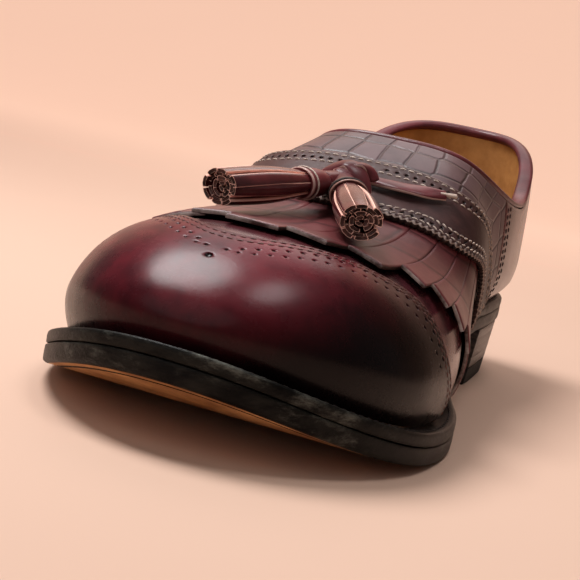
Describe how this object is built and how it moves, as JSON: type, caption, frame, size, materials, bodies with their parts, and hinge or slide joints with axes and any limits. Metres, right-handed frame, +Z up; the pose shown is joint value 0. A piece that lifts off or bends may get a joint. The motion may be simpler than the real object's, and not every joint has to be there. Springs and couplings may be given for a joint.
{
  "type": "tassel loafer",
  "caption": "Leather slip-on shoe with a fringed kiltie, a strap over the instep, tasseled lace, welted leather sole and stacked heel.",
  "frame": {"origin": "middle of the shoe's outline on the floor", "axes": "toe towards -Y, heel towards +Y, +Z up, lateral side of this right shoe towards -X"},
  "size_m": [0.115, 0.2914, 0.0902],
  "materials": {
    "sole_leather": "tan leather sole, matt, with a burnished dark edge",
    "edge": "black waxed edge, scuffed",
    "insole_leather": "plain tan leather",
    "stack": "stacked leather, dark waxed",
    "lift": "black rubber",
    "vamp": "polished oxblood calf, burnished towards its edges",
    "binding": "smooth burgundy leather",
    "counter": "polished brown burgundy calf",
    "grained": "scale embossed leather, satin gloss",
    "band": "scale embossed leather, satin gloss",
    "strap": "scale embossed leather, satin gloss",
    "lace": "rolled reddish brown leather lace",
    "tassel": "glossy rolled fringe"
  },
  "bodies": {
    "root": {"outsole": "sole_leather", "welt": "edge", "insole": "insole_leather", "heel_stack": "stack", "heel_top_lift": "lift", "upper": "vamp", "topline_binding": "binding", "heel_counter": "counter", "kiltie": "grained", "instep_band": "band", "saddle_strap": "strap", "lace_knot": "lace", "lace_tail": "lace", "tassel_lateral": "tassel", "tassel_medial": "tassel"}
  },
  "joints": []
}
